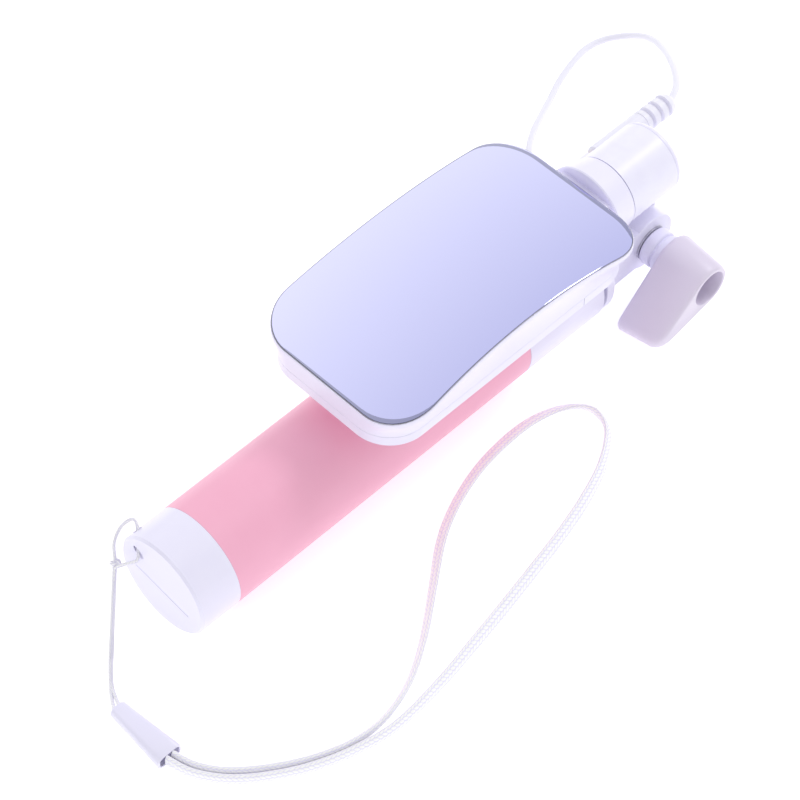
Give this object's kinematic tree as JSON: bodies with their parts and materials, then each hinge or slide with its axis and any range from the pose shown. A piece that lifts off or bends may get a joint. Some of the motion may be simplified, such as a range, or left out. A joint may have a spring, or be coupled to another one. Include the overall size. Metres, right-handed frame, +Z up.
{
  "type": "selfie stick",
  "caption": "Folding telescopic selfie stick with a fat two-tone grip, tilting head, spring phone clamp with a mirror back, wing knob, wrist strap and audio lead.",
  "frame": {"origin": "centre of the tail cap's flat end face, on the stick's axis", "axes": "+X along the stick from the tail towards the head, +Z up through the folded clamp and its mirror, the wing knob on the -Y side; the stick lies on the plane z = -14 mm"},
  "size_m": [0.2458, 0.1173, 0.0512],
  "materials": {
    "white_plastic": "smooth, slightly glossy white moulding",
    "shade_plastic": "smooth white moulding with a faint lavender cast",
    "pink_grip": "satin soft-touch pink",
    "pale_pink": "matt pale pink silicone",
    "mirror_face": "polished mirror",
    "mirror_edge": "thin polished dark rim",
    "tape": "foam tape",
    "tube_steel": "polished stainless tube",
    "steel": "plated steel",
    "bush": "dark slip bush",
    "board": "green circuit board",
    "lead": "smooth white lead jacket",
    "jack_metal": "gold-plated contact",
    "jack_black": "black insulator",
    "string": "twisted white string",
    "braid": "woven white band"
  },
  "bodies": {
    "handle": {"tail_cap": "white_plastic", "grip_sleeve": "pink_grip", "handle_core": "shade_plastic", "collar": "white_plastic", "dome_switch": "steel", "switch_board": "board", "lead_coil": "lead", "tube_1": "tube_steel", "string_loop": "string", "string_knot": "string", "string_left": "string", "string_right": "string", "wrist_slider": "white_plastic", "wrist_band": "braid"},
    "button": {"shutter_button": "white_plastic"},
    "stage_2": {"tube_2": "tube_steel", "bush_2": "bush"},
    "stage_3": {"tube_3": "tube_steel", "bush_3": "bush"},
    "stage_4": {"tube_4": "tube_steel", "bush_4": "bush"},
    "stage_5": {"tube_5": "tube_steel", "bush_5": "bush"},
    "tip": {"tube_6": "tube_steel", "bush_6": "bush", "fork": "white_plastic", "cord_grommet": "white_plastic", "hinge_nut": "steel", "hinge_washer": "steel"},
    "knob": {"wing_knob": "shade_plastic", "hinge_screw": "steel"},
    "head": {"head_barrel": "white_plastic", "barrel_cap": "white_plastic", "plug_body": "lead", "plug_relief": "lead", "jack_tip": "jack_metal", "jack_contacts": "jack_metal", "jack_insulators": "jack_black", "audio_cord": "lead"},
    "clamp": {"swivel_stud": "steel", "swivel_washer": "steel", "swivel_nut": "steel", "clamp_shell": "white_plastic", "mirror_plate": "mirror_face", "mirror_trim": "mirror_edge", "mirror_tape": "tape", "base_fixed": "white_plastic", "mat_fixed": "pale_pink", "bearing_block": "white_plastic", "return_springs": "steel", "clamp_screws": "steel", "head_claw_pin": "steel"},
    "slider": {"base_slider": "white_plastic", "mat_slider": "pale_pink", "guide_rods": "steel", "tail_claw_pin": "steel"},
    "tail_hook": {"tail_claw": "shade_plastic", "tail_claw_pads": "pale_pink"},
    "head_hook": {"head_claw": "shade_plastic", "head_claw_pads": "pale_pink"}
  },
  "joints": [
    {"name": "shutter_press", "type": "slide", "parent": "handle", "child": "button", "axis": [0, 0, -1], "range_m": [0, 0.0006], "stiffness_N_per_m": 300, "springref_m": -0.0015},
    {"name": "tube_2_slide", "type": "slide", "parent": "handle", "child": "stage_2", "axis": [1, 0, 0], "range_m": [0, 0.08]},
    {"name": "tube_3_slide", "type": "slide", "parent": "stage_2", "child": "stage_3", "axis": [1, 0, 0], "range_m": [0, 0.08]},
    {"name": "tube_4_slide", "type": "slide", "parent": "stage_3", "child": "stage_4", "axis": [1, 0, 0], "range_m": [0, 0.08]},
    {"name": "tube_5_slide", "type": "slide", "parent": "stage_4", "child": "stage_5", "axis": [1, 0, 0], "range_m": [0, 0.08]},
    {"name": "tube_6_slide", "type": "slide", "parent": "stage_5", "child": "tip", "axis": [1, 0, 0], "range_m": [0, 0.08]},
    {"name": "knob_turn", "type": "hinge", "parent": "tip", "child": "knob", "pos_m": [0.159, -0.022, 0], "axis": [0, -1, 0], "range_deg": [0, 360]},
    {"name": "head_tilt", "type": "hinge", "parent": "tip", "child": "head", "pos_m": [0.159, 0, 0], "axis": [0, 1, 0], "range_deg": [0, 180]},
    {"name": "clamp_swivel", "type": "hinge", "parent": "head", "child": "clamp", "pos_m": [0.146, 0, 0.0194], "axis": [1, 0, 0], "range_deg": [-40, 40]},
    {"name": "clamp_slide", "type": "slide", "parent": "clamp", "child": "slider", "axis": [-1, 0, 0], "range_m": [0, 0.028], "stiffness_N_per_m": 200, "springref_m": -0.004, "deforming": ["return_springs"]},
    {"name": "tail_claw_fold", "type": "hinge", "parent": "slider", "child": "tail_hook", "pos_m": [0.062, 0, 0.0226], "axis": [0, 1, 0], "range_deg": [0, 90]},
    {"name": "head_claw_fold", "type": "hinge", "parent": "clamp", "child": "head_hook", "pos_m": [0.124, 0, 0.0226], "axis": [0, -1, 0], "range_deg": [0, 90]}
  ]
}
